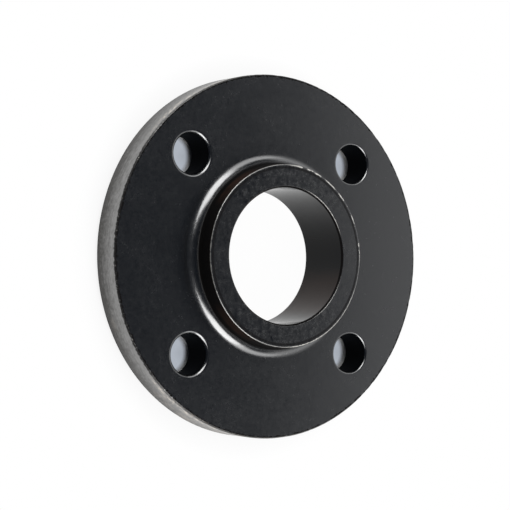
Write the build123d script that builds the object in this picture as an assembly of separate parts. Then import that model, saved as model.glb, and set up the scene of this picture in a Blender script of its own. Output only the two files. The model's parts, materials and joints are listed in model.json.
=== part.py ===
from build123d import *
from math import radians, tan
import os

# Slip-on weld flange with a hub: one forged and turned steel ring.
# It lies on its raised gasket face, so Z = 0 is the gasket face, and +Z runs
# along the bore to the free end of the hub. All lengths are millimetres.

# Pipe that is pushed through the bore and welded in
pipe_outside_diameter = 60.3
pipe_slip_clearance = 1.2

# Bolting
bolt_circle_diameter = 125.0
bolt_hole_diameter = 18.0
bolt_hole_count = 4
bolt_hole_chamfer = 1.0

# Plate, the disc that the bolts clamp
plate_thickness = 16.0
rim_beyond_bolt_circle = 20.0
rim_edge_chamfer = 0.5

# Raised gasket face under the plate
raised_face_height = 2.0
raised_face_to_bolt_holes = 2.5
raised_face_edge_chamfer = 0.3
raised_face_step_radius = 0.5

# Hub, the tapered collar that the pipe is welded to
hub_height = 11.0
hub_wall_at_end = 10.5
hub_draft_degrees = 4.0
hub_root_radius = 5.0
hub_end_edge_radius = 0.5

# Mouths of the bore, at the gasket face and at the end of the hub
bore_mouth_chamfer = 0.8

# Sizes that follow from the ones above
bore_radius = (pipe_outside_diameter + pipe_slip_clearance) / 2
bolt_circle_radius = bolt_circle_diameter / 2
bolt_hole_radius = bolt_hole_diameter / 2
outer_radius = bolt_circle_radius + rim_beyond_bolt_circle
raised_face_radius = bolt_circle_radius - bolt_hole_radius - raised_face_to_bolt_holes
plate_top = raised_face_height + plate_thickness
hub_end = plate_top + hub_height
hub_end_radius = bore_radius + hub_wall_at_end
hub_root_outer_radius = hub_end_radius + hub_height * tan(radians(hub_draft_degrees))

# Corners of the half section, as (distance from the bore axis, height)
gasket_bore_corner = (bore_radius, 0)
raised_face_corner = (raised_face_radius, 0)
raised_face_step = (raised_face_radius, raised_face_height)
rim_lower_corner = (outer_radius, raised_face_height)
rim_upper_corner = (outer_radius, plate_top)
hub_root = (hub_root_outer_radius, plate_top)
hub_end_corner = (hub_end_radius, hub_end)
hub_bore_corner = (bore_radius, hub_end)


def ring_section():
    """Half section of the ring beside the bore axis, with every corner finished."""
    with BuildSketch() as section:
        with BuildLine():
            Polyline(
                gasket_bore_corner,
                raised_face_corner,
                raised_face_step,
                rim_lower_corner,
                rim_upper_corner,
                hub_root,
                hub_end_corner,
                hub_bore_corner,
                close=True,
            )
        make_face()

        def corner(point):
            return section.vertices().sort_by_distance(point)[0]

        chamfer([corner(gasket_bore_corner), corner(hub_bore_corner)], bore_mouth_chamfer)
        chamfer([corner(rim_lower_corner), corner(rim_upper_corner)], rim_edge_chamfer)
        chamfer(corner(raised_face_corner), raised_face_edge_chamfer)
        fillet(corner(raised_face_step), raised_face_step_radius)
        fillet(corner(hub_root), hub_root_radius)
        fillet(corner(hub_end_corner), hub_end_edge_radius)
    return section.sketch


def turned_ring():
    """Ring turned about the bore axis from its half section."""
    return revolve(Plane.XZ * ring_section(), Axis.Z)


def bolt_hole():
    """Clearance hole for one bolt, with both mouths chamfered, standing on Z = 0."""
    mouth_radius = bolt_hole_radius + bolt_hole_chamfer
    hole = Cylinder(
        bolt_hole_radius,
        plate_thickness,
        align=(Align.CENTER, Align.CENTER, Align.MIN),
    )
    mouth = Cone(
        mouth_radius,
        bolt_hole_radius,
        bolt_hole_chamfer,
        align=(Align.CENTER, Align.CENTER, Align.MIN),
    )
    return hole + mouth + Pos(0, 0, plate_thickness) * Rot(180, 0, 0) * mouth


def bolt_holes():
    """Ring of bolt holes, placed so that they straddle the centre lines of the flange."""
    first_hole_angle = 180 / bolt_hole_count
    places = PolarLocations(bolt_circle_radius, bolt_hole_count, first_hole_angle)
    return Pos(0, 0, raised_face_height) * places * bolt_hole()


flange = turned_ring() - bolt_holes()
flange.label = "flange"
os.makedirs("parts", exist_ok=True)
export_step(flange, "parts/flange.step")
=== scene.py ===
"""Finish and stage for a hubbed weld flange in worn black lacquer.

Settings in the sidebar are in metres. Inside the materials of the ring, lengths are millimetres.
"""
import json
import math

import bmesh
import bpy
from mathutils import Matrix, Vector, noise


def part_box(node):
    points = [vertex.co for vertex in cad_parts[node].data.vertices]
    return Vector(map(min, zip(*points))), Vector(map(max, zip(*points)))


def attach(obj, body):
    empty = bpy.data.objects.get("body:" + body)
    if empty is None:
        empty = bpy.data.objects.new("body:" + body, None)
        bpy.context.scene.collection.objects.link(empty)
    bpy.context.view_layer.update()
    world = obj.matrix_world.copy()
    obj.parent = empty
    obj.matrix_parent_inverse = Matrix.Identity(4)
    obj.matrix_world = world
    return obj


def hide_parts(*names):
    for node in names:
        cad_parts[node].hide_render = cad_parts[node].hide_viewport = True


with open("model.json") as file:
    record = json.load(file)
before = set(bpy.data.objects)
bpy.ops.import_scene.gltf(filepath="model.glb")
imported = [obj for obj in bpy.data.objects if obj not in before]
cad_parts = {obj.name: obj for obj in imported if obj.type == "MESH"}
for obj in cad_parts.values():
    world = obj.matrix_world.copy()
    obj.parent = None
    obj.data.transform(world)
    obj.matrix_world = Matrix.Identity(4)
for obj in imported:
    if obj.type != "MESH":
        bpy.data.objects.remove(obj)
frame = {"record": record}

bl_info = {
    "name": "Weld Flange Finish",
    "version": (1, 0, 0),
    "blender": (4, 5, 0),
    "location": "3D View > Sidebar > Flange",
    "description": "Turns, drills and lacquers a hubbed weld flange, and sets up its studio",
    "category": "Object",
}

NODE = "flange"
RING = "flange_ring"
MM = 0.001
MM_PER_M = 1000.0

BOX_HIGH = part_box(NODE)[1]
MOUNTS = {mount["name"]: mount for mount in frame["record"]["mounts"]}
BORE = MOUNTS["bore"]["dims"]
BOLTS = MOUNTS["bolt_holes"]["dims"]
HOLE_CHAMFER = 1.0 * MM
PLATE_TOP = MOUNTS["bolt_holes"]["pos_m"][2] + HOLE_CHAMFER

# Steps in the rounds of the profile and of the drills
BREAK_STEPS = 2
RAISED_STEP_STEPS = 5
HUB_ROOT_STEPS = 16
HUB_EDGE_STEPS = 6
LIP_STEPS = 6
HOLE_SEGMENTS = 96
SHARP_ANGLE = 32.0

# Sectors round the bore axis, as (turn, half width) in degrees.
# Turn is 0 at -Y and grows towards -X.
SPECKLED_RIM = (-15.0, 40.0)
RUBBED_RIM_UPPER = (60.0, 19.0)
RUBBED_RIM_LOWER = (-82.0, 40.0)
BROKEN_HUB_EDGE = (135.0, 42.0)
RUBBED_HUB_LOWER = (-125.0, 32.0)
RUBBED_HUB_UPPER = (140.0, 40.0)
WORN_MOUTH_UPPER = (135.0, 22.0)
WORN_MOUTH_LOWER = (220.0, 16.0)
MARKED_HUB_WALL = (5.0, 38.0)
BROWN_HUB_UPPER = (50.0, 9.0)
BROWN_HUB_LOWER = (-50.0, 9.0)
ROUGH_END_UPPER = (90.0, 50.0)
ROUGH_END_LOWER = (-90.0, 50.0)
BROWN_BORE = (216.0, 22.0)
# Turn round the bore where the wall gets no painted sheen.
DARK_BORE_TURN = 178.0
SECTOR_FADE = 12.0

# Turned mark on the hub's wall, in millimetres
MARK_HEIGHT = 20.8
MARK_HALF_WIDTH = 0.25

DULL_ROUGHNESS = 0.65
COMMON_IOR = 1.5
DULL_LACQUER_IOR = 1.15
DULL_RIM_IOR = 1.25

# Each softbox: name, turn from +X towards +Y and elevation in degrees, width and height in metres,
# the setting that holds its brightness, and its share of that brightness.
SOFTBOXES = (
    ("main_left", 198.0, 42.0, (0.56, 0.70), "main_light", 1.0),
    ("main_right", -9.0, 44.0, (0.54, 0.68), "main_light", 1.12),
    ("side_left", 156.0, 42.0, (0.50, 0.45), "side_light", 1.0),
    ("side_right", 26.0, 43.0, (0.50, 0.45), "side_light", 1.1),
    ("backdrop", 90.0, 22.0, (2.6, 0.58), "backdrop_light", 1.0),
    ("backdrop_top", 90.0, 46.0, (2.6, 0.19), "backdrop_top_light", 1.0),
)
WATTS_PER_SQUARE_METRE = 4
SENSOR_WIDTH = 36.0
WHITE = (1.0, 1.0, 1.0)

# Brightness painted on the floor under each bolt hole
HOLE_MIDDLE = 1.08
HOLE_EDGE_FADE = 2.2 * MM
HOLE_EDGE_LEVEL = 0.35
FALL_PER_METRE_OUTWARDS = 34.0
RISE_PER_METRE_ACROSS = 22.0
UNDER_PLATE_BELOW = 0.3


def length(name, description, default):
    """Setting for a length in metres."""
    return bpy.props.FloatProperty(
        name=name, description=description, default=default, min=0.0, precision=5, unit="LENGTH"
    )


def share(name, description, default):
    """Setting for a share between none and all."""
    return bpy.props.FloatProperty(
        name=name, description=description, default=default, min=0.0, max=1.0, subtype="FACTOR"
    )


def colour(name, description, default):
    """Setting for a colour in linear light."""
    return bpy.props.FloatVectorProperty(
        name=name,
        description=description,
        default=default,
        size=3,
        min=0.0,
        max=1.0,
        subtype="COLOR",
    )


def point(name, description, default):
    """Setting for a point, in metres."""
    return bpy.props.FloatVectorProperty(
        name=name,
        description=description,
        default=default,
        size=3,
        precision=5,
        subtype="TRANSLATION",
    )


def degrees(name, description, default):
    """Setting for an angle, given in degrees."""
    return bpy.props.FloatProperty(
        name=name, description=description, default=math.radians(default), unit="ROTATION"
    )


def number(name, description, default):
    """Setting for a plain number."""
    return bpy.props.FloatProperty(name=name, description=description, default=default, min=0.0)


def whole_number(name, description, default, least):
    """Setting for a whole number."""
    return bpy.props.IntProperty(name=name, description=description, default=default, min=least)


class FlangeSizes(bpy.types.PropertyGroup):
    """Sizes of the turned and drilled ring."""

    outer_radius: length("Outer radius", "Bore axis to the rim", BOX_HIGH.x)
    height: length("Height", "Gasket face to the end of the hub", BOX_HIGH.z)
    bore_radius: length("Bore radius", "Bore axis to the bore wall", BORE["r_mm"] * MM)
    mouth_chamfer: length(
        "Bore mouth chamfer", "At both ends of the bore", (BOX_HIGH.z - BORE["length_mm"] * MM) / 2
    )
    plate_top: length("Plate top", "Gasket face to the face under the nuts", PLATE_TOP)
    rim_chamfer: length("Rim chamfer", "On both edges of the rim", 0.5 * MM)
    raised_height: length("Raised face height", "Gasket face to the underside of the rim", 2.0 * MM)
    raised_radius: length("Raised face radius", "Bore axis to the gasket face's edge", 51.0 * MM)
    raised_chamfer: length("Raised face chamfer", "On the edge of the gasket face", 0.3 * MM)
    raised_step: length("Raised face step", "Round in the step beside the gasket face", 0.5 * MM)
    hub_wall: length("Hub wall", "Bore wall to the outside of the hub at its end", 10.5 * MM)
    hub_draft: degrees("Hub draft", "Taper of the hub's outside", 4.0)
    hub_root: length("Hub root", "Round between the hub and the plate", 5.0 * MM)
    hub_edge: length("Hub edge", "Round on the end of the hub", 0.6 * MM)
    bolt_circle_radius: length(
        "Bolt circle", "Bore axis to each bolt hole", BOLTS["pcd_mm"] / 2 * MM
    )
    bolt_hole_radius: length("Bolt hole", "Radius of each bolt hole", BOLTS["hole_r_mm"] * MM)
    bolt_hole_count: whole_number("Bolt holes", "Holes on the bolt circle", BOLTS["count"], 1)
    bolt_hole_chamfer: length(
        "Bolt hole chamfer", "Below every bolt hole, and the round lip above the +Y ones", HOLE_CHAMFER
    )
    wide_lip: length("Wide lip", "Round lip above the bolt holes on the -Y side", 1.6 * MM)
    groove_pitch: length("Groove pitch", "Turned grooves of the gasket face", 0.8 * MM)
    groove_depth: length("Groove depth", "Turned grooves of the gasket face", 0.05 * MM)
    knock_reach: length("Knock reach", "How far knocks reach from an edge", 1.2 * MM)
    break_radius: length("Broken edge", "Small round on the edges of each chamfer", 0.12 * MM)
    nick_depth: length("Nick depth", "Deepest knock on the rim and hub edges", 0.12 * MM)
    segments: whole_number("Segments", "Steps round the bore axis", 480, 48)


class FlangeFinish(bpy.types.PropertyGroup):
    """Colours and wear of the surfaces."""

    lacquer: colour("Lacquer", "Black lacquer on the faces", (0.0016, 0.0020, 0.0028))
    end_lacquer: colour("End lacquer", "Lacquer on the end of the hub", (0.0062, 0.0062, 0.0066))
    # Bright rim and dull rim paint light and shade on the rim: bright at its front edge, painted shade
    # towards the floor. The dull one also darkens the turned streaks.
    rim_bright: colour("Bright rim", "Turned rim near its front edge", (0.245, 0.243, 0.240))
    rim_shaded_and_streaked: colour("Dull rim", "Turned rim near its rear edge", (0.050, 0.048, 0.045))
    rubbed_rim: colour("Rubbed rim", "Patches of the rim rubbed to steel", (0.42, 0.375, 0.33))
    # Painted sheen: a grey colour that lightens the bore wall along its sides.
    bore_painted_sheen: colour("Bore coat", "Thin grey coat along the bore's sides", (0.152, 0.152, 0.152))
    rubbed_steel: colour(
        "Rubbed streak", "Warm steel in the streaks behind the rim's front edge", (0.84, 0.77, 0.67)
    )
    bare_steel: colour("Bare steel", "Metal where the lacquer is worn through", (0.70, 0.68, 0.64))
    oxide: colour("Oxide", "Brown film in the root of the hub", (0.060, 0.028, 0.017))
    scale: colour("Scale", "Black scale along the knocked edges", (0.0040, 0.0034, 0.0034))
    gloss: share("Roughness", "Roughness of the lacquer", 0.24)
    lacquer_ior: number("Lacquer index", "Refractive index of the lacquer", 2.5)
    bore_ior: number("Bore index", "Refractive index of the thin coat in the bore", 1.19)
    hole_ior: number("Hole index", "Refractive index of the coat in the bolt holes", 1.08)
    rim_wear: length("Rim wear", "How far black scale reaches from the rim's edge", 1.05 * MM)
    hub_wear: length("Hub wear", "How far wear reaches from the hub's edge", 0.30 * MM)
    mouth_wear: length("Bore mouth wear", "How far wear reaches from the bore's mouth", 0.22 * MM)


class FlangeStage(bpy.types.PropertyGroup):
    """Floor, lamps and camera."""

    floor_colour: colour("Floor", "Colour of the floor", (0.85, 0.85, 0.85))
    floor_size: length("Floor size", "Side of the square floor", 16.0)
    rim_white: share("White beside the rim", "Share of plain white beside the rim", 0.86)
    bore_white: share("White in the bore", "Share of plain white seen through the bore", 0.97)
    # Painted shade: the bluish grey of the floor seen through the bolt holes, in place of their
    # shadow.
    hole_floor_shade: colour(
        "Floor in the holes", "Floor seen through the bolt holes", (0.415, 0.45, 0.505)
    )
    camera_distance: length("Camera distance", "Camera to the point it looks at", 0.78187)
    camera_tilt: degrees("Camera tilt", "Angle between the view and the bore axis", 34.303)
    camera_turn: degrees("Camera turn", "Turn of the camera round the bore axis", 2.695)
    camera_roll: degrees("Camera roll", "Roll about the view, from X upright", 0.733)
    camera_aim: point(
        "Camera aim", "Point that the camera looks at", (-0.32 * MM, -10.07 * MM, PLATE_TOP)
    )
    lens: number("Lens", "Focal length in millimetres on a 36 mm sensor", 122.55)
    lamp_distance: length("Lamp distance", "Flange to each lamp", 0.9)
    main_light: number("Main light", "Brightness of the two softboxes beside the camera", 3.6)
    side_light: number("Side light", "Brightness of the softboxes at the flange's sides", 1.25)
    backdrop_light: number("Backdrop light", "Brightness of the panel beyond the flange", 0.66)
    backdrop_top_light: number("Backdrop top light", "Brightness of the top of that panel", 0.30)
    room_light: colour("Room light", "Light from the room's ceiling", (0.018, 0.023, 0.032))


# Shape of the ring


def rounded(before, corner, after, radius, steps):
    """Arc that rounds one corner of a profile."""
    to_before = (before - corner).normalized()
    to_after = (after - corner).normalized()
    half_angle = to_before.angle(to_after) / 2
    centre = corner + (to_before + to_after).normalized() * radius / math.sin(half_angle)
    reach = radius / math.tan(half_angle)
    start = corner + to_before * reach - centre
    end = corner + to_after * reach - centre
    return [centre + start.slerp(end, step / steps) * radius for step in range(steps + 1)]


def chamfered(before, corner, after, size, edge_radius):
    """Chamfer on one corner of a profile, with its own two edges broken."""
    start = corner + (before - corner).normalized() * size
    end = corner + (after - corner).normalized() * size
    near_edge = rounded(before, start, end, edge_radius, BREAK_STEPS)
    far_edge = rounded(start, end, after, edge_radius, BREAK_STEPS)
    return near_edge + far_edge


def flanked(points, before, after, gap):
    """Worked corner with a point past each end, which keeps its shading off the faces beside it."""
    start = points[0] + (before - points[0]).normalized() * gap
    end = points[-1] + (after - points[-1]).normalized() * gap
    return [start, *points, end]


def grooves(inner, outer, pitch, depth):
    """Points of V grooves turned into the gasket face, from the bore outwards."""
    count = int((outer - inner) / pitch)
    points = []
    for index in range(count):
        crest = inner + index * pitch
        points += [Vector((crest, 0.0)), Vector((crest + pitch / 2, depth))]
    points.append(Vector((inner + count * pitch, 0.0)))
    return points


def ring_profile(sizes):
    """Closed half section of the ring as (distance from the axis, height), starting at the bore."""
    hub_end_radius = sizes.bore_radius + sizes.hub_wall
    hub_height = sizes.height - sizes.plate_top
    hub_root_radius = hub_end_radius + hub_height * math.tan(sizes.hub_draft)
    corners = {
        "gasket_bore": (sizes.bore_radius, 0.0),
        "raised_edge": (sizes.raised_radius, 0.0),
        "raised_step": (sizes.raised_radius, sizes.raised_height),
        "rim_lower": (sizes.outer_radius, sizes.raised_height),
        "rim_upper": (sizes.outer_radius, sizes.plate_top),
        "hub_root": (hub_root_radius, sizes.plate_top),
        "hub_edge": (hub_end_radius, sizes.height),
        "hub_bore": (sizes.bore_radius, sizes.height),
    }
    names = list(corners)
    points = [Vector(corners[name]) for name in names]
    worked = {
        "gasket_bore": (chamfered, sizes.mouth_chamfer, sizes.break_radius),
        "raised_edge": (chamfered, sizes.raised_chamfer, sizes.break_radius),
        "raised_step": (rounded, sizes.raised_step, RAISED_STEP_STEPS),
        "rim_lower": (chamfered, sizes.rim_chamfer, sizes.break_radius),
        "rim_upper": (chamfered, sizes.rim_chamfer, sizes.break_radius),
        "hub_root": (rounded, sizes.hub_root, HUB_ROOT_STEPS),
        "hub_edge": (rounded, sizes.hub_edge, HUB_EDGE_STEPS),
        "hub_bore": (chamfered, sizes.mouth_chamfer, sizes.break_radius),
    }
    profile = []
    for index, name in enumerate(names):
        work, size, detail = worked[name]
        before, after = points[index - 1], points[(index + 1) % len(points)]
        worked_points = work(before, points[index], after, size, detail)
        if name in {"rim_lower", "rim_upper", "hub_edge", "hub_root"}:
            worked_points = flanked(worked_points, before, after, sizes.knock_reach)
        profile += worked_points
        if name == "gasket_bore":
            margin = sizes.groove_pitch
            inner = sizes.bore_radius + margin
            outer = sizes.raised_radius - margin
            profile += grooves(inner, outer, sizes.groove_pitch, sizes.groove_depth)
    return profile


def knocked(point, angle, knocks):
    """Profile point at one angle round the ring, pushed in where an edge has been knocked."""
    spacing = 3.0 * MM
    unmarked = 0.15
    sharpness = 3.0
    for edge, depth, reach in knocks:
        nearness = 1 - (point - edge).length / reach
        if nearness <= 0:
            continue
        place = Vector((math.cos(angle), math.sin(angle), edge.y / edge.x)) * edge.x / spacing
        knock = max(0.0, noise.fractal(place, 1.0, 2.0, 3) - unmarked)
        push = nearness * min(depth, depth * sharpness * knock)
        point = point - Vector((1.0, 1.0)) * push
    return point


def turned_mesh(name, profile, segments, knocks):
    """Mesh of a closed profile turned about the bore axis."""
    mesh = bpy.data.meshes.new(name)
    shape = bmesh.new()
    rings = []
    for step in range(segments):
        angle = 2 * math.pi * step / segments
        ring = []
        for point in profile:
            radius, height = knocked(point, angle, knocks)
            place = (radius * math.cos(angle), radius * math.sin(angle), height)
            ring.append(shape.verts.new(place))
        rings.append(ring)
    count = len(profile)
    for step, ring in enumerate(rings):
        following = rings[(step + 1) % segments]
        for index in range(count):
            after = (index + 1) % count
            shape.faces.new((ring[index], following[index], following[after], ring[after]))
    bmesh.ops.recalc_face_normals(shape, faces=shape.faces)
    shape.to_mesh(mesh)
    shape.free()
    return mesh


def lip_radius(sizes, y):
    """Radius of a bolt hole's rounded lip, which is wider on the -Y side."""
    return sizes.wide_lip if y < 0 else sizes.bolt_hole_chamfer


def drill_outline(sizes, lip_size):
    """Profile of one drill from below the plate to above it, with a chamfer below and a lip above."""
    run_out = 2.0 * MM
    bottom, top = sizes.raised_height, sizes.plate_top
    mouth = sizes.bolt_hole_radius + sizes.bolt_hole_chamfer
    lip_centre = Vector((sizes.bolt_hole_radius + lip_size, top - lip_size))
    lip = []
    for step in range(LIP_STEPS + 1):
        tilt = math.pi / 2 * step / LIP_STEPS
        lip.append(lip_centre + Vector((-math.cos(tilt), math.sin(tilt))) * lip_size)
    return [
        Vector((mouth, bottom - run_out)),
        Vector((mouth, bottom)),
        Vector((sizes.bolt_hole_radius, bottom + sizes.bolt_hole_chamfer)),
        *lip,
        Vector((lip_centre.x, top + run_out)),
    ]


def circle(centre, radius, height):
    """Points of a level circle about a bolt hole's axis."""
    points = []
    for step in range(HOLE_SEGMENTS):
        angle = 2 * math.pi * step / HOLE_SEGMENTS
        points.append(centre + Vector((math.cos(angle) * radius, math.sin(angle) * radius, height)))
    return points


def drill_mesh(sizes):
    """One mesh that holds a drill for each bolt hole."""
    shape = bmesh.new()
    for hole in range(sizes.bolt_hole_count):
        turn = 2 * math.pi * (hole + 0.5) / sizes.bolt_hole_count
        centre = Vector((math.cos(turn), math.sin(turn), 0.0)) * sizes.bolt_circle_radius
        rings = []
        for radius, height in drill_outline(sizes, lip_radius(sizes, centre.y)):
            rings.append([shape.verts.new(place) for place in circle(centre, radius, height)])
        for lower, upper in zip(rings, rings[1:]):
            for step in range(HOLE_SEGMENTS):
                after = (step + 1) % HOLE_SEGMENTS
                shape.faces.new((lower[step], lower[after], upper[after], upper[step]))
        shape.faces.new(list(reversed(rings[0])))
        shape.faces.new(rings[-1])
    bmesh.ops.recalc_face_normals(shape, faces=shape.faces)
    mesh = bpy.data.meshes.new("bolt_hole_drills")
    shape.to_mesh(mesh)
    shape.free()
    return mesh


def drill_holes(ring, sizes):
    """Cuts the bolt holes into the ring."""
    drills = bpy.data.objects.new("bolt_hole_drills", drill_mesh(sizes))
    bpy.context.scene.collection.objects.link(drills)
    cut = ring.modifiers.new("Bolt holes", "BOOLEAN")
    cut.operation = "DIFFERENCE"
    cut.solver = "MANIFOLD"
    cut.object = drills
    bpy.context.view_layer.update()
    evaluated = ring.evaluated_get(bpy.context.evaluated_depsgraph_get())
    mesh = bpy.data.meshes.new_from_object(evaluated)
    ring.modifiers.clear()
    ring.data = mesh
    bpy.data.objects.remove(drills)


# Shader nodes


class Value:
    """One socket of a material's nodes, on which Python arithmetic adds Math nodes."""

    def __init__(self, nodes, socket):
        self.nodes = nodes
        self.socket = socket

    def __add__(self, other):
        return self.nodes.maths("ADD", self, other)

    def __radd__(self, other):
        return self.nodes.maths("ADD", other, self)

    def __sub__(self, other):
        return self.nodes.maths("SUBTRACT", self, other)

    def __rsub__(self, other):
        return self.nodes.maths("SUBTRACT", other, self)

    def __mul__(self, other):
        return self.nodes.maths("MULTIPLY", self, other)

    def __truediv__(self, other):
        return self.nodes.maths("DIVIDE", self, other)

    def __abs__(self):
        return self.nodes.maths("ABSOLUTE", self)

    def root(self):
        """Square root."""
        return self.nodes.maths("SQRT", self)

    def kept(self):
        """Held between 0 and 1."""
        return self.nodes.add("ShaderNodeClamp", {}, {"Value": self})

    def above(self, level, steepness):
        """0 up to a level, and from there rising to 1."""
        return ((self - level) * steepness).kept()

    def swing(self, amount):
        """Noise from 0 to 1 turned into a swing about 0, of half an amount each way."""
        return (self - 0.5) * amount


class Nodes:
    """The nodes of one material or world."""

    def __init__(self, tree):
        self.tree = tree
        tree.nodes.clear()

    def add(self, kind, settings, inputs, output=0):
        """Adds one node: its settings first, then the values or links of its sockets."""
        node = self.tree.nodes.new(kind)
        for name, value in settings.items():
            setattr(node, name, value)
        for key, value in inputs.items():
            if isinstance(value, Value):
                self.tree.links.new(value.socket, node.inputs[key])
            elif hasattr(value, "__len__") and node.inputs[key].type == "RGBA":
                node.inputs[key].default_value = (*value[:3], 1.0)
            else:
                node.inputs[key].default_value = value
        return Value(self, node.outputs[output]) if node.outputs else node

    def maths(self, operation, *values):
        """One step of arithmetic."""
        return self.add("ShaderNodeMath", {"operation": operation}, dict(enumerate(values)))

    def most(self, first, second):
        """The larger of two values."""
        return self.maths("MAXIMUM", first, second)

    def object_place(self):
        """Place on the object, in metres."""
        return self.add("ShaderNodeTexCoord", {}, {}, "Object")

    def axis(self, place, index):
        """One coordinate of a place: 0 for X, 1 for Y, 2 for Z."""
        return self.add("ShaderNodeSeparateXYZ", {}, {0: place}, index)

    def vector(self, x, y, z):
        """Place from its three coordinates."""
        return self.add("ShaderNodeCombineXYZ", {}, {0: x, 1: y, 2: z})

    def mixed(self, factor, first, second):
        """Colour between two colours."""
        inputs = {"Factor": factor, 6: first, 7: second}
        return self.add("ShaderNodeMix", {"data_type": "RGBA"}, inputs, 2)

    def noise(self, place, scale, detail, roughness):
        """Noise from 0 to 1 at a place in millimetres."""
        inputs = {"Vector": place, "Scale": scale, "Detail": detail, "Roughness": roughness}
        return self.add("ShaderNodeTexNoise", {}, inputs)

    def ray(self, kind):
        """1 on one kind of ray, named as on the Light Path node."""
        return self.add("ShaderNodeLightPath", {}, {}, kind)

    def layered(self, factor, below, above):
        """One shader over another."""
        return self.add("ShaderNodeMixShader", {}, {0: factor, 1: below, 2: above})


class Place(Nodes):
    """Nodes of a material on the ring, with coordinates for turned work, in millimetres."""

    def __init__(self, tree, sizes):
        super().__init__(tree)
        self.sizes = sizes
        inputs = {0: self.object_place(), "Scale": MM_PER_M}
        self.spot = self.add("ShaderNodeVectorMath", {"operation": "SCALE"}, inputs)
        self.x = self.axis(self.spot, 0)
        self.y = self.axis(self.spot, 1)
        self.z = self.axis(self.spot, 2)
        self.radius = (self.x * self.x + self.y * self.y).root()

    def from_edge(self, radius, height):
        """Distance from a circular edge of the ring, given in metres."""
        across = self.radius - radius * MM_PER_M
        up = self.z - height * MM_PER_M
        return (across * across + up * up).root()

    def from_hole(self):
        """Distance from the axis of the nearest of four bolt holes."""
        offset = self.sizes.bolt_circle_radius * MM_PER_M * math.sqrt(0.5)
        across = abs(self.x) - offset
        along = abs(self.y) - offset
        return (across * across + along * along).root()

    def facing(self, turn):
        """Cosine of the angle round the axis from a turn, which is 0 at -Y and grows towards -X."""
        turn = math.radians(turn)
        return (self.x * -math.sin(turn) + self.y * -math.cos(turn)) / self.radius

    def sector(self, span):
        """1 within a sector round the axis, fading out past its sides."""
        turn, half_width = span
        inside = self.facing(turn) - math.cos(math.radians(half_width))
        return (inside * SECTOR_FADE + 0.5).kept()

    def turned_streaks(self, along, across):
        """Noise drawn out round the bore axis, as a lathe tool leaves it."""
        round_x = self.x / self.radius * along
        round_y = self.y / self.radius * along
        return self.noise(self.vector(round_x, round_y, self.z * across), 1.0, 3.0, 0.6)


def within(distance, reach, chips, spread, softness):
    """1 near an edge, out to a reach in millimetres that noise makes ragged."""
    return ((reach + chips.swing(spread) - distance) / softness).kept()


def new_material(name):
    """Empty material that uses nodes."""
    material = bpy.data.materials.new(name)
    material.use_nodes = True
    return material


def finish_of(nodes, base, roughness, metallic=0.0, ior=COMMON_IOR, normal=None):
    """Shader of one finish, from its colour, shares and refractive index."""
    inputs = {"Base Color": base, "Roughness": roughness, "Metallic": metallic, "IOR": ior}
    if normal is not None:
        inputs["Normal"] = normal
    return nodes.add("ShaderNodeBsdfPrincipled", {}, inputs)


def relief(nodes, height, depth):
    """Surface direction over a relief, whose depth is in metres."""
    return nodes.add("ShaderNodeBump", {}, {"Strength": 1.0, "Distance": depth, "Height": height})


def close_material(nodes, shader):
    """Gives a material its last shader."""
    nodes.add("ShaderNodeOutputMaterial", {}, {"Surface": shader})


def knocked_edges(nodes, finish):
    """Ragged black scale along both edges of the rim, and the steel that shows in specks."""
    sizes = nodes.sizes
    upper = nodes.from_edge(sizes.outer_radius, sizes.plate_top)
    lower = nodes.from_edge(sizes.outer_radius, sizes.raised_height)
    distance = nodes.maths("MINIMUM", upper, lower)
    chips = nodes.noise(nodes.spot, 0.75, 4.0, 0.6)
    flecks = nodes.noise(nodes.spot, 0.8, 3.0, 0.6)
    reach = finish.rim_wear * MM_PER_M
    scale = within(distance, reach, chips, spread=3.4, softness=0.25)
    near = within(distance, reach * 0.55, chips, spread=0.8, softness=0.3)
    rarity = 0.62 - nodes.sector(SPECKLED_RIM) * 0.05
    return scale, flecks.above(rarity, 14.0) * near


def worn_hub_edge(nodes, finish, chips):
    """Thin bright line along the hub's end, which is broken on one side."""
    sizes = nodes.sizes
    gaps = nodes.noise(nodes.spot, 0.30, 3.0, 0.6)
    edge_radius = sizes.bore_radius + sizes.hub_wall - sizes.hub_edge * 0.45
    edge = nodes.from_edge(edge_radius, sizes.height - sizes.hub_edge * 0.15)
    broken = nodes.sector(BROKEN_HUB_EDGE)
    reach = broken * 0.2 + finish.hub_wear * MM_PER_M
    line = within(edge, reach, chips, spread=0.8, softness=0.15)
    rubbed = nodes.most(nodes.sector(RUBBED_HUB_LOWER), nodes.sector(RUBBED_HUB_UPPER))
    whole = 1.0 - broken + broken * gaps.above(0.48, 14.0)
    return line * whole * (rubbed * 0.6 + broken * 0.5 + 0.06 + gaps * 0.3).kept()


def worn_bore_mouth(nodes, finish, chips):
    """Thin bright line along the bore's mouth, in two sectors."""
    sizes = nodes.sizes
    mouth = nodes.from_edge(sizes.bore_radius + sizes.mouth_chamfer, sizes.height)
    line = within(mouth, finish.mouth_wear * MM_PER_M, chips, spread=0.3, softness=0.12)
    upper = nodes.sector(WORN_MOUTH_UPPER) * 0.5
    lower = nodes.sector(WORN_MOUTH_LOWER) * 0.25
    return line * nodes.most(upper, lower)


def worn_lines(nodes, finish):
    """Where the edges of the hub and of the bore's mouth are worn to steel."""
    chips = nodes.noise(nodes.spot, 0.8, 3.0, 0.6)
    return nodes.most(worn_hub_edge(nodes, finish, chips), worn_bore_mouth(nodes, finish, chips))


def turned_mark(nodes):
    """1 on a thin ring turned round part of the hub's wall."""
    nearness = (1.0 - abs(nodes.z - MARK_HEIGHT) / MARK_HALF_WIDTH).kept()
    return nearness * nodes.sector(MARKED_HUB_WALL)


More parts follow.
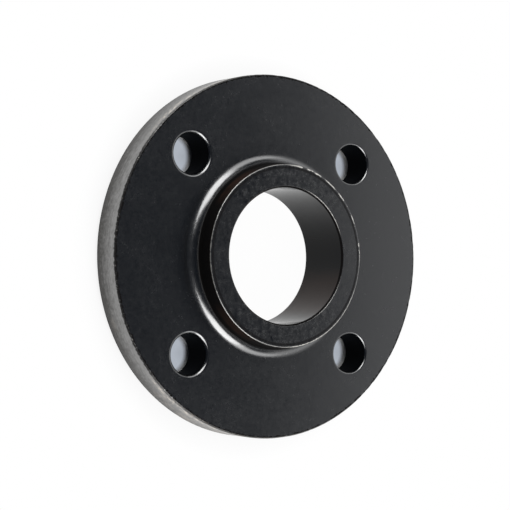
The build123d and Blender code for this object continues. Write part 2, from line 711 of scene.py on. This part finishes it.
def brown_film(nodes, end):
    """Brown film above the hub's root, in two sectors."""
    sizes = nodes.sizes
    above_root = (sizes.plate_top + sizes.hub_root) * MM_PER_M
    sides = nodes.most(nodes.sector(BROWN_HUB_UPPER), nodes.sector(BROWN_HUB_LOWER) * 0.7)
    film = sides * nodes.z.above(above_root, 1.0) * (1.0 - end)
    return film * nodes.noise(nodes.spot, 0.3, 3.0, 0.6)


def dulled_lacquer(nodes, scale, mottle, end):
    """Where the lacquer is dull: at the rim, the bore's mouth, the hub's wall and inside its edge."""
    sizes = nodes.sizes
    mouth_radius = (sizes.bore_radius + sizes.mouth_chamfer) * MM_PER_M
    bore_mouth = ((mouth_radius - nodes.radius) * 10.0).kept()
    wall_start = sizes.plate_top * MM_PER_M + 1.9
    hub_wall = nodes.z.above(wall_start, 0.85) * (1.0 - end)
    band_radius = (sizes.bore_radius + sizes.hub_wall) * MM_PER_M - 1.5
    off_band = abs(nodes.radius - band_radius)
    band = within(off_band, 0.7, mottle, spread=1.2, softness=0.4) * end * 0.7
    return nodes.most(nodes.most(scale, bore_mouth), nodes.most(hub_wall, band))


def lacquered(name, sizes, finish):
    """Black lacquer over faced steel, brown on part of the hub and worn along the edges."""
    material = new_material(name)
    nodes = Place(material.node_tree, sizes)
    mottle = nodes.noise(nodes.spot, 0.45, 4.0, 0.65)
    grain = nodes.noise(nodes.spot, 1.5, 2.0, 0.5)
    clouds = nodes.noise(nodes.spot, 0.09, 3.0, 0.6)
    blotches = nodes.noise(nodes.spot, 0.28, 3.0, 0.6)
    end = ((nodes.z - sizes.height * MM_PER_M) * 8.0 + 1.5).kept()
    rough_sides = nodes.most(nodes.sector(ROUGH_END_UPPER), nodes.sector(ROUGH_END_LOWER))
    coat = nodes.mixed(mottle.above(0.35, 2.6) * end, finish.lacquer, finish.end_lacquer)
    spread = mottle.swing(0.12) + grain.swing(0.10) + clouds.swing(0.06)
    end_spread = end * blotches.swing(0.12) + rough_sides * end * mottle.swing(0.3)
    normal = relief(nodes, grain * 0.25 + mottle * 0.75, depth=0.016 * MM)
    roughness = finish.gloss + spread + end_spread
    black = finish_of(nodes, coat, roughness, ior=finish.lacquer_ior, normal=normal)
    scale, specks = knocked_edges(nodes, finish)
    dull_base = nodes.mixed(brown_film(nodes, end), finish.scale, finish.oxide)
    dull = finish_of(nodes, dull_base, DULL_ROUGHNESS, ior=DULL_LACQUER_IOR)
    steel = finish_of(nodes, finish.bare_steel, 0.5, metallic=0.6)
    shader = nodes.layered(dulled_lacquer(nodes, scale, mottle, end), black, dull)
    worn = nodes.most(specks * 0.5, worn_lines(nodes, finish))
    shader = nodes.layered(worn, shader, steel)
    shader = nodes.layered(turned_mark(nodes) * 0.06, shader, steel)
    close_material(nodes, shader)
    return material


def turned_rim(name, sizes, finish):
    """Turned rim with painted shade that darkens it from its front edge towards the floor, rubbed to
    steel in patches.
    """
    material = new_material(name)
    nodes = Place(material.node_tree, sizes)
    streaks = nodes.turned_streaks(along=5.0, across=1.6)
    fine = nodes.turned_streaks(along=16.0, across=5.0)
    rubs = nodes.turned_streaks(along=34.0, across=0.9)
    patches = nodes.noise(nodes.spot, 0.035, 3.0, 0.55)
    grit = nodes.noise(nodes.spot, 0.55, 4.0, 0.7)
    # Painted shade: the rim's colour darkens from its front edge towards the floor, to the dull rim
    # colour.
    rim_light_by_height = (nodes.z - 5.0) / 9.5 + streaks.swing(0.8) + grit.swing(1.4)
    base = nodes.mixed(rim_light_by_height.kept(), finish.rim_shaded_and_streaked, finish.rim_bright)
    base = nodes.mixed(rubs.above(0.46, 3.0) * 0.6, base, finish.rim_shaded_and_streaked)
    upper_end = nodes.sector(RUBBED_RIM_UPPER)
    lower_end = nodes.sector(RUBBED_RIM_LOWER)
    ends = nodes.most(upper_end, lower_end)
    ragged = rubs.swing(3.0) + grit.swing(2.0)
    patchy = (patches - 0.72) * 5.0 + upper_end * 0.5 + lower_end * 0.9
    base = nodes.mixed((patchy + ragged * ends).kept() * 0.7, base, finish.rubbed_rim)
    behind_edge = sizes.plate_top * MM_PER_M - 2.8
    near_edge = (1.2 - abs(nodes.z - behind_edge) / 2.4).kept()
    streak = near_edge * ends * (rubs * 0.6 + grit * 0.4).above(0.48, 9.0)
    base = nodes.mixed(streak * 0.8, base, finish.rubbed_steel)
    normal = relief(nodes, streaks * 0.3 + fine * 0.3 + grit * 0.4, depth=0.03 * MM)
    turned = finish_of(nodes, base, 0.36 + fine.swing(0.3), metallic=0.9, normal=normal)
    scale, specks = knocked_edges(nodes, finish)
    dull = finish_of(nodes, finish.scale, DULL_ROUGHNESS, ior=DULL_RIM_IOR)
    steel = finish_of(nodes, finish.bare_steel, 0.45, metallic=1.0)
    shader = nodes.layered(scale * (0.85 - ends * 0.4), turned, dull)
    shader = nodes.layered(specks * 0.7, shader, steel)
    close_material(nodes, shader)
    return material


def bore_wall(name, sizes, finish):
    """Bored wall under a thin smooth coat, with painted sheen that greys it along its sides, and brown
    in one sector.
    """
    material = new_material(name)
    nodes = Place(material.node_tree, sizes)
    streaks = nodes.turned_streaks(along=6.0, across=1.5)
    patches = nodes.noise(nodes.spot, 0.08, 3.0, 0.55)
    # Painted sheen: grey along the sides of the bore, none at the dark turn.
    sides = ((1.0 - nodes.facing(DARK_BORE_TURN)) * 0.95).kept()
    coat = nodes.mixed(sides * (0.7 + patches * 0.6), finish.lacquer, finish.bore_painted_sheen)
    brown = nodes.sector(BROWN_BORE) * 0.3 + (patches - 0.6).kept() * 0.4
    coat = nodes.mixed(brown, coat, finish.oxide)
    normal = relief(nodes, streaks, depth=0.003 * MM)
    roughness = 0.08 + streaks.swing(0.04)
    close_material(nodes, finish_of(nodes, coat, roughness, ior=finish.bore_ior, normal=normal))
    return material


def gasket_face(name, sizes, finish):
    """Grooved gasket face in thin lacquer, rubbed bright on the crests of its grooves."""
    material = new_material(name)
    nodes = Place(material.node_tree, sizes)
    patches = nodes.noise(nodes.spot, 0.12, 4.0, 0.6)
    crest = (1.0 - nodes.z / (sizes.groove_depth * MM_PER_M * 0.4)).kept()
    rubbed = (crest * (patches - 0.42) * 4.0).kept()
    thin_lacquer = [channel * 3.0 for channel in finish.lacquer]
    base = nodes.mixed(rubbed, thin_lacquer, finish.bare_steel)
    normal = relief(nodes, patches, depth=0.01 * MM)
    roughness = 0.4 + patches.swing(0.2)
    close_material(nodes, finish_of(nodes, base, roughness, metallic=rubbed * 0.8, normal=normal))
    return material


def bolt_hole_wall(name, sizes, finish):
    """Black drilled wall, and the glossier lip of its mouth."""
    material = new_material(name)
    nodes = Place(material.node_tree, sizes)
    rings = nodes.noise(nodes.vector(0.0, 0.0, nodes.z * 2.5), 1.0, 3.0, 0.6)
    chips = nodes.noise(nodes.spot, 0.9, 3.0, 0.6)
    mouth = ((nodes.from_hole() - sizes.bolt_hole_radius * MM_PER_M - 0.05) * 20.0).kept()
    black = [channel * 0.9 for channel in finish.lacquer]
    rough_wall = relief(nodes, rings, depth=0.01 * MM)
    wall = finish_of(nodes, black, 0.6, ior=finish.hole_ior, normal=rough_wall)
    lip = finish_of(nodes, finish.lacquer, 0.20 + chips.swing(0.2), ior=finish.lacquer_ior)
    close_material(nodes, nodes.layered(mouth, wall, lip))
    return material


SURFACES = {
    "lacquered_faces": lacquered,
    "turned_rim": turned_rim,
    "bore_wall": bore_wall,
    "gasket_face": gasket_face,
    "bolt_hole_wall": bolt_hole_wall,
}


def surface_of(centre, sizes):
    """Which surface of the ring a face belongs to, by its name in SURFACES."""
    slack = 0.02 * MM
    radius = math.hypot(centre.x, centre.y)
    offset = sizes.bolt_circle_radius * math.sqrt(0.5)
    hole = math.hypot(abs(centre.x) - offset, abs(centre.y) - offset)
    if hole < sizes.bolt_hole_radius + lip_radius(sizes, centre.y):
        return "bolt_hole_wall"
    if radius > sizes.outer_radius - sizes.rim_chamfer:
        return "turned_rim"
    if radius < sizes.bore_radius + slack:
        return "bore_wall"
    if centre.z < sizes.groove_depth and radius < sizes.raised_radius:
        return "gasket_face"
    return "lacquered_faces"


class FLANGE_OT_turn_ring(bpy.types.Operator):
    """Turn the ring from its profile, drill it, and put it in the place of the plain solid"""

    bl_idname = "flange.turn_ring"
    bl_label = "Turn and drill the ring"

    def execute(self, context):
        sizes = context.scene.flange_sizes
        rim_edge = Vector((sizes.outer_radius, sizes.plate_top))
        hub_edge = Vector((sizes.bore_radius + sizes.hub_wall, sizes.height))
        knocks = (
            (rim_edge, sizes.nick_depth, sizes.knock_reach),
            (hub_edge, sizes.nick_depth / 2, sizes.knock_reach),
        )
        mesh = turned_mesh(RING, ring_profile(sizes), sizes.segments, knocks)
        ring = bpy.data.objects.new(RING, mesh)
        context.scene.collection.objects.link(ring)
        drill_holes(ring, sizes)
        for polygon in ring.data.polygons:
            polygon.use_smooth = True
        ring.data.set_sharp_from_angle(angle=math.radians(SHARP_ANGLE))
        flat = ring.modifiers.new("Flat faces stay flat", "WEIGHTED_NORMAL")
        flat.keep_sharp = True
        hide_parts(NODE)
        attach(ring, "root")
        return {"FINISHED"}


class FLANGE_OT_finish_ring(bpy.types.Operator):
    """Lacquer the ring: faces, rim, bore, gasket face and bolt holes, with their worn edges"""

    bl_idname = "flange.finish_ring"
    bl_label = "Lacquer the ring"

    def execute(self, context):
        sizes = context.scene.flange_sizes
        finish = context.scene.flange_finish
        ring = bpy.data.objects[RING]
        ring.data.materials.clear()
        for name, maker in SURFACES.items():
            ring.data.materials.append(maker(name, sizes, finish))
        names = list(SURFACES)
        for polygon in ring.data.polygons:
            polygon.material_index = names.index(surface_of(polygon.center, sizes))
        return {"FINISHED"}


# Stage


def painted_hole_floor(nodes, sizes):
    """Brightness painted on the floor under the bolt holes, less towards the wall's shadow."""
    metres = nodes.object_place()
    x = nodes.axis(metres, 0)
    y = nodes.axis(metres, 1)
    offset = sizes.bolt_circle_radius * math.sqrt(0.5)
    across = abs(x) - offset
    along = abs(y) - offset
    reach = (across * across + along * along).root()
    edge = ((sizes.bolt_hole_radius - reach) / HOLE_EDGE_FADE + HOLE_EDGE_LEVEL).kept()
    outwards = along * nodes.maths("SIGN", y)
    rise = abs(across) * RISE_PER_METRE_ACROSS
    return edge * (HOLE_MIDDLE - outwards * FALL_PER_METRE_OUTWARDS + rise)


def floor_material(stage, sizes):
    """Pale floor, which looks white past the object's shadow, with light and shade painted on it under
    the bolt holes.
    """
    material = new_material("pale_floor")
    nodes = Nodes(material.node_tree)
    length_of = {"operation": "LENGTH"}
    reach = nodes.add("ShaderNodeVectorMath", length_of, {0: nodes.object_place()}, "Value")
    hole = sizes.bolt_hole_radius
    in_bore = ((sizes.bolt_circle_radius - hole - reach) / hole).kept()
    past_rim = ((reach - sizes.outer_radius) / sizes.outer_radius + stage.rim_white).kept()
    past_rim = past_rim * nodes.maths("GREATER_THAN", reach, sizes.outer_radius - hole)
    white_share = nodes.most(in_bore * stage.bore_white, past_rim)
    under_plate = nodes.maths("LESS_THAN", white_share, UNDER_PLATE_BELOW)
    white_share = nodes.most(white_share, under_plate * painted_hole_floor(nodes, sizes))
    seen = nodes.ray("Is Camera Ray") + nodes.ray("Is Glossy Ray")
    seen = (seen + nodes.ray("Is Transmission Ray")).kept()
    paper = nodes.add("ShaderNodeBsdfDiffuse", {}, {"Color": stage.floor_colour})
    # Under the plate the floor glows in the painted shade colour of the bolt holes, elsewhere in
    # white.
    white_and_hole_shade = nodes.mixed(under_plate, WHITE, stage.hole_floor_shade)
    white = nodes.add("ShaderNodeEmission", {}, {"Color": white_and_hole_shade, "Strength": 1.0})
    close_material(nodes, nodes.layered(seen * white_share, paper, white))
    return material


def lay_floor(stage, sizes):
    """Square floor under the flange."""
    half = stage.floor_size / 2
    corners = [(-half, -half, 0), (half, -half, 0), (half, half, 0), (-half, half, 0)]
    mesh = bpy.data.meshes.new("floor")
    mesh.from_pydata(corners, [], [(0, 1, 2, 3)])
    mesh.materials.append(floor_material(stage, sizes))
    floor = bpy.data.objects.new("floor", mesh)
    bpy.context.scene.collection.objects.link(floor)


def light_room(stage):
    """Room that is white to the camera, and dim overhead to the lacquer."""
    world = bpy.data.worlds.new("studio_room")
    world.use_nodes = True
    bpy.context.scene.world = world
    nodes = Nodes(world.node_tree)
    room = nodes.add("ShaderNodeBackground", {}, {"Color": stage.room_light, "Strength": 1.0})
    white = nodes.add("ShaderNodeBackground", {}, {"Color": WHITE, "Strength": 1.0})
    shader = nodes.layered(nodes.ray("Is Camera Ray"), room, white)
    nodes.add("ShaderNodeOutputWorld", {}, {"Surface": shader})


def hang_softbox(name, turn, elevation, size, brightness, distance):
    """Area lamp aimed at the flange, with its turn and elevation in degrees."""
    width, height = size
    turn, elevation = math.radians(turn), math.radians(elevation)
    level = math.cos(elevation)
    towards = Vector((math.cos(turn) * level, math.sin(turn) * level, math.sin(elevation)))
    lamp = bpy.data.lights.new(name, "AREA")
    lamp.shape = "RECTANGLE"
    lamp.size = width
    lamp.size_y = height
    lamp.energy = brightness * WATTS_PER_SQUARE_METRE * width * height
    softbox = bpy.data.objects.new(name, lamp)
    softbox.location = towards * distance
    softbox.rotation_euler = towards.to_track_quat("Z", "Y").to_euler()
    softbox.visible_camera = False
    bpy.context.scene.collection.objects.link(softbox)


def place_camera(stage):
    """Camera tilted from the bore axis, with the flange's -X side up in the picture."""
    tilt, turn = stage.camera_tilt, stage.camera_turn
    level = math.sin(tilt)
    back = Vector((math.sin(turn) * level, -math.cos(turn) * level, math.cos(tilt)))
    right = Vector((-1.0, 0.0, 0.0)).cross(back).normalized()
    up = back.cross(right)
    upright = Matrix((right, up, back)).transposed()
    camera = bpy.data.objects.new("camera", bpy.data.cameras.new("camera"))
    camera.data.sensor_width = SENSOR_WIDTH
    camera.data.lens = stage.lens
    camera.data.clip_start = 0.05
    camera.data.clip_end = 60.0
    roll = Matrix.Rotation(stage.camera_roll, 3, "Z")
    place = Matrix.Translation(Vector(stage.camera_aim) + back * stage.camera_distance)
    camera.matrix_world = place @ (upright @ roll).to_4x4()
    bpy.context.scene.collection.objects.link(camera)
    bpy.context.scene.camera = camera


class FLANGE_OT_set_stage(bpy.types.Operator):
    """Lay the floor, hang the lamps and place the camera"""

    bl_idname = "flange.set_stage"
    bl_label = "Set the stage"

    def execute(self, context):
        stage = context.scene.flange_stage
        lay_floor(stage, context.scene.flange_sizes)
        light_room(stage)
        for name, turn, elevation, size, setting, part in SOFTBOXES:
            brightness = getattr(stage, setting) * part
            hang_softbox(name, turn, elevation, size, brightness, stage.lamp_distance)
        place_camera(stage)
        context.scene.view_settings.view_transform = "Standard"
        return {"FINISHED"}


class FLANGE_PT_sidebar(bpy.types.Panel):
    """Steps that make the flange, in order"""

    bl_label = "Weld flange"
    bl_idname = "FLANGE_PT_sidebar"
    bl_space_type = "VIEW_3D"
    bl_region_type = "UI"
    bl_category = "Flange"

    def draw(self, context):
        for step in STEPS:
            self.layout.operator(step.bl_idname)
        for group in GROUPS:
            settings = getattr(context.scene, group)
            for name in settings.bl_rna.properties.keys():
                if name not in {"rna_type", "name"}:
                    self.layout.prop(settings, name)


STEPS = (FLANGE_OT_turn_ring, FLANGE_OT_finish_ring, FLANGE_OT_set_stage)
GROUPS = {
    "flange_sizes": FlangeSizes,
    "flange_finish": FlangeFinish,
    "flange_stage": FlangeStage,
}
CLASSES = (*GROUPS.values(), *STEPS, FLANGE_PT_sidebar)


def register():
    for made in CLASSES:
        bpy.utils.register_class(made)
    for name, group in GROUPS.items():
        setattr(bpy.types.Scene, name, bpy.props.PointerProperty(type=group))


def unregister():
    for name in GROUPS:
        delattr(bpy.types.Scene, name)
    for made in reversed(CLASSES):
        bpy.utils.unregister_class(made)


def main():
    """Makes the flange and its stage."""
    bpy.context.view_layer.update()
    register()
    bpy.ops.flange.turn_ring()
    bpy.ops.flange.finish_ring()
    bpy.ops.flange.set_stage()


if __name__ == "__main__":
    main()
